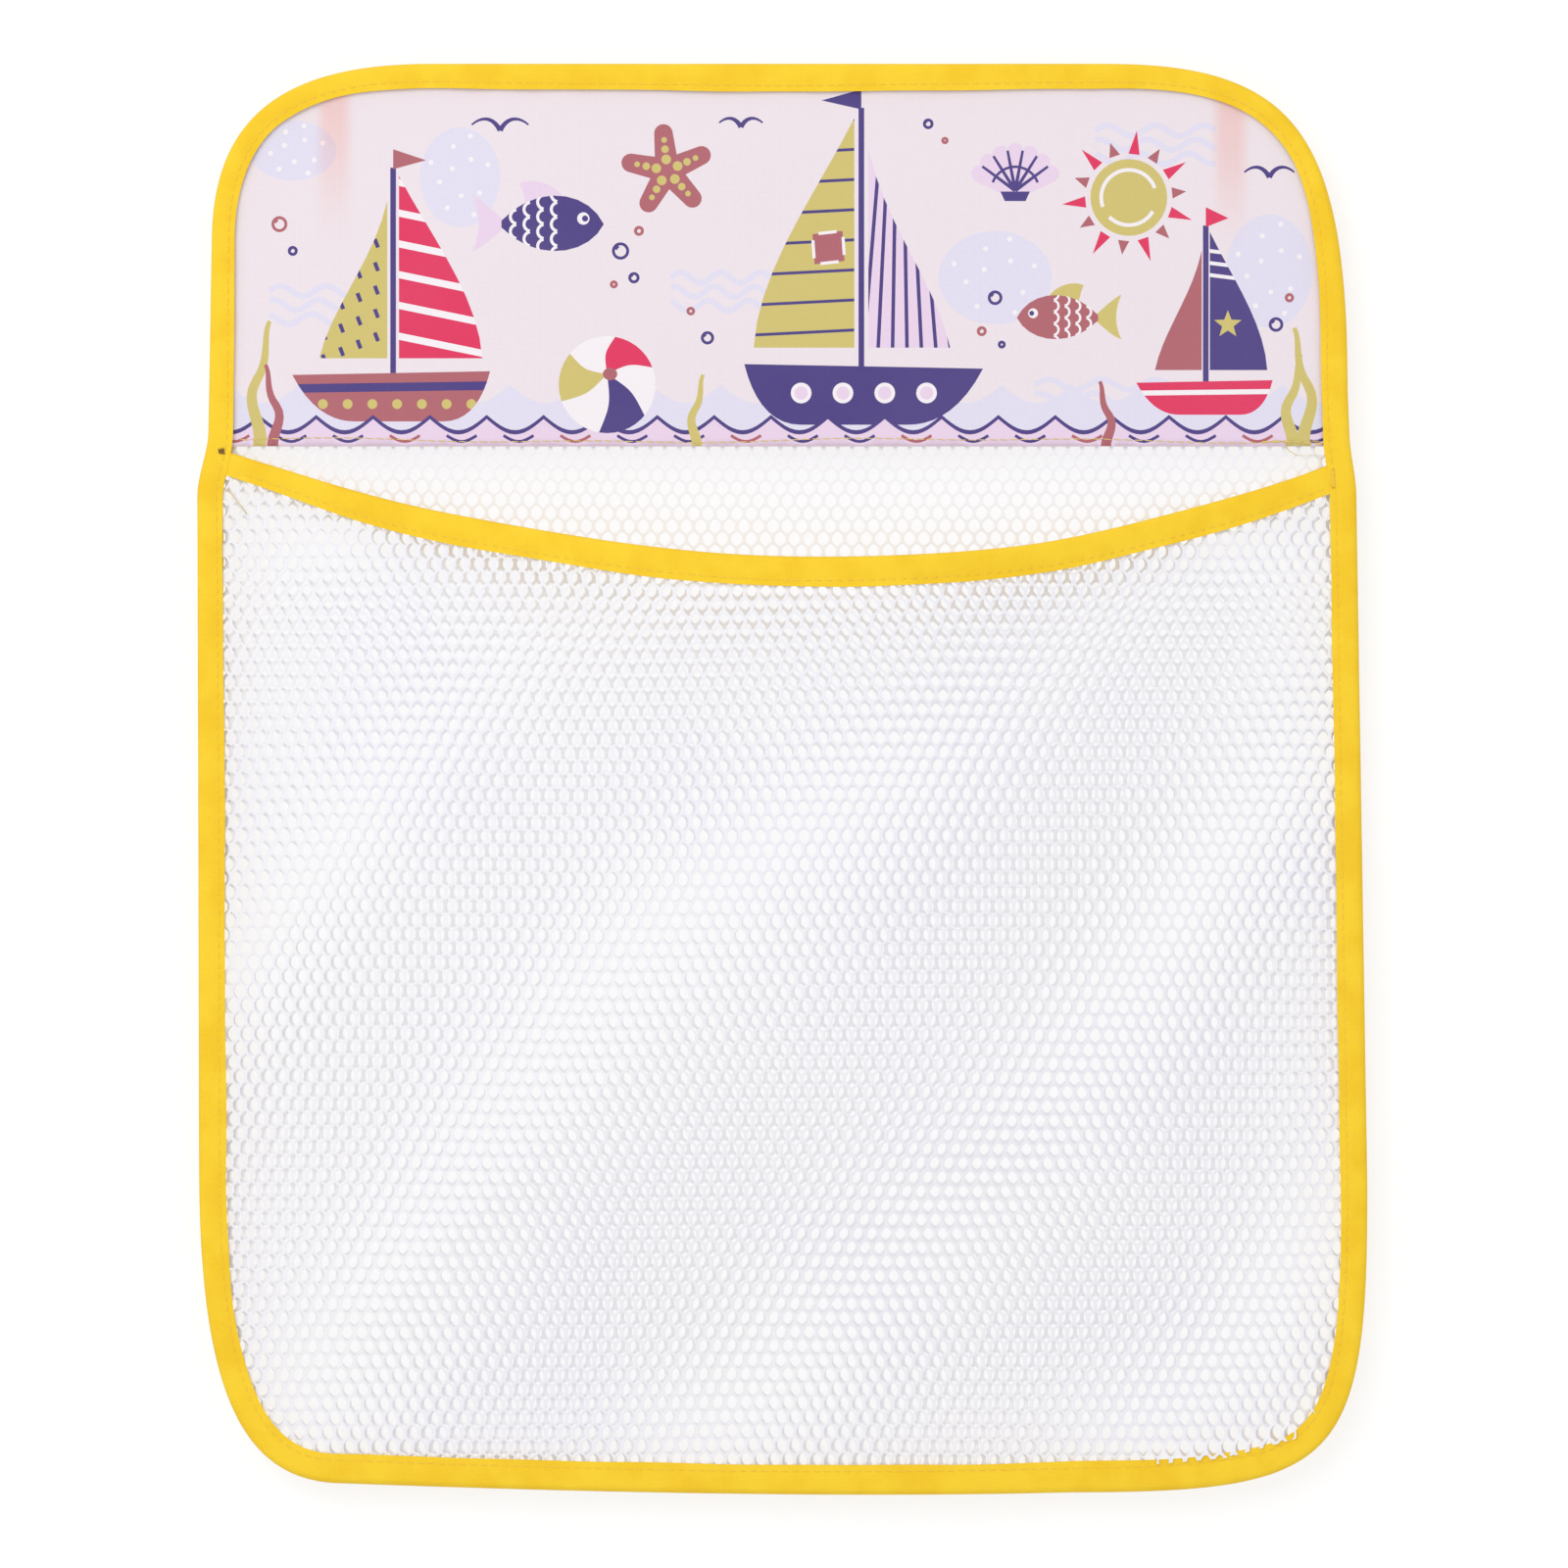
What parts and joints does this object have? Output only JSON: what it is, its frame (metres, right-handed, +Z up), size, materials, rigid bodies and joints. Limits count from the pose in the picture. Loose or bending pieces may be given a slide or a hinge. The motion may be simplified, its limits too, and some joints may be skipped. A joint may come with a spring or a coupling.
{
  "type": "bath toy organizer",
  "caption": "Flat hanging bath toy organizer: printed cloth header over a mesh back, mesh front pocket with a curved open rim, yellow tape binding all round and hanging loops behind the header.",
  "frame": {"origin": "on the back face of the top binding, half way along the top run and half way across the tape", "axes": "+Z up, +Y towards the wall, +X to the right of someone facing the pocket"},
  "size_m": [0.35, 0.0298, 0.428],
  "materials": {
    "printed_cloth": "matt woven cloth with a print",
    "white_mesh": "satin knitted mesh",
    "yellow_tape": "matt woven tape",
    "yellow_thread": "spun thread"
  },
  "bodies": {
    "bag": {"header_panel": "printed_cloth", "back_mesh": "white_mesh", "pocket_mesh": "white_mesh", "edge_binding": "yellow_tape", "left_loop_tail": "yellow_tape", "right_loop_tail": "yellow_tape", "hem_thread": "yellow_thread", "edge_thread": "yellow_thread", "left_rim_tack": "yellow_thread", "right_rim_tack": "yellow_thread"},
    "pocket_rim": {"rim_binding": "yellow_tape", "rim_thread": "yellow_thread"},
    "left_hanging_loop": {"left_loop": "yellow_tape"},
    "right_hanging_loop": {"right_loop": "yellow_tape"}
  },
  "joints": [
    {"name": "left_loop_swing", "type": "hinge", "parent": "bag", "child": "left_hanging_loop", "pos_m": [-0.1336, 0.0008, -0.00961], "axis": [1, 0, 0], "range_deg": [0, 180]},
    {"name": "right_loop_swing", "type": "hinge", "parent": "bag", "child": "right_hanging_loop", "pos_m": [0.1344, 0.0008, -0.0131], "axis": [1, 0, 0], "range_deg": [0, 180]},
    {"name": "pocket_mouth", "type": "hinge", "parent": "bag", "child": "pocket_rim", "pos_m": [0, -0.0028, -0.11645], "axis": [-0.9999, 0, 0.0119], "range_deg": [0, 45], "deforming": ["pocket_mesh"]}
  ]
}
